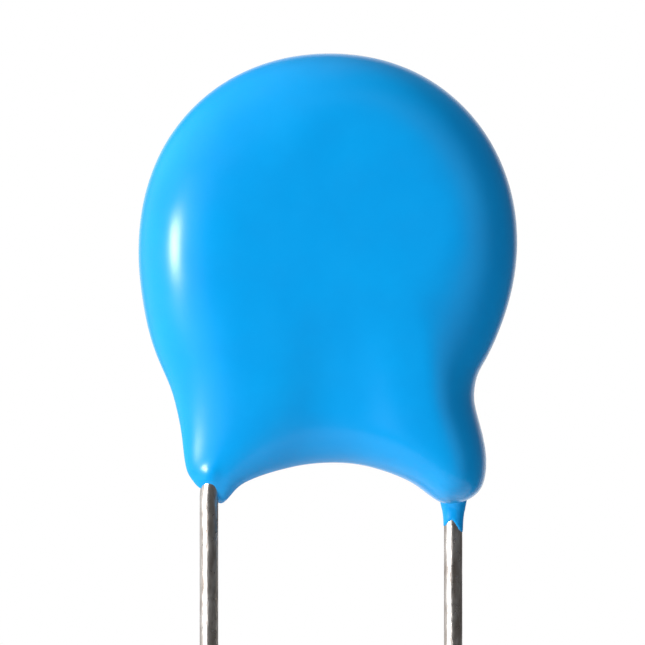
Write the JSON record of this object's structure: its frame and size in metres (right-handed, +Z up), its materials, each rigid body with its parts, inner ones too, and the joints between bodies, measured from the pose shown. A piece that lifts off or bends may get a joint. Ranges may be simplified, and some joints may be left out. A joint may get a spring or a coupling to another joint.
{
  "type": "ceramic disc capacitor",
  "caption": "Round ceramic disc capacitor dipped in glossy blue epoxy, with straight tinned wire leads that leave the skirt on opposite faces.",
  "frame": {"origin": "midway between the two leads on the seating plane, where a board's top face stops the part", "axes": "+Z up along the leads to the body, +X from the front lead towards the rear lead, front face looking along -Y"},
  "size_m": [0.0116, 0.0044, 0.0347],
  "materials": {
    "epoxy": "glossy dipped epoxy",
    "ceramic": "fired, matt",
    "silver": "fired silver, satin",
    "tinned_wire": "bright tin",
    "solder": "bright solder"
  },
  "bodies": {
    "root": {"coating": "epoxy", "ceramic_disc": "ceramic", "front_electrode": "silver", "rear_electrode": "silver", "front_lead": "tinned_wire", "rear_lead": "tinned_wire", "front_solder": "solder", "rear_solder": "solder"}
  },
  "joints": []
}
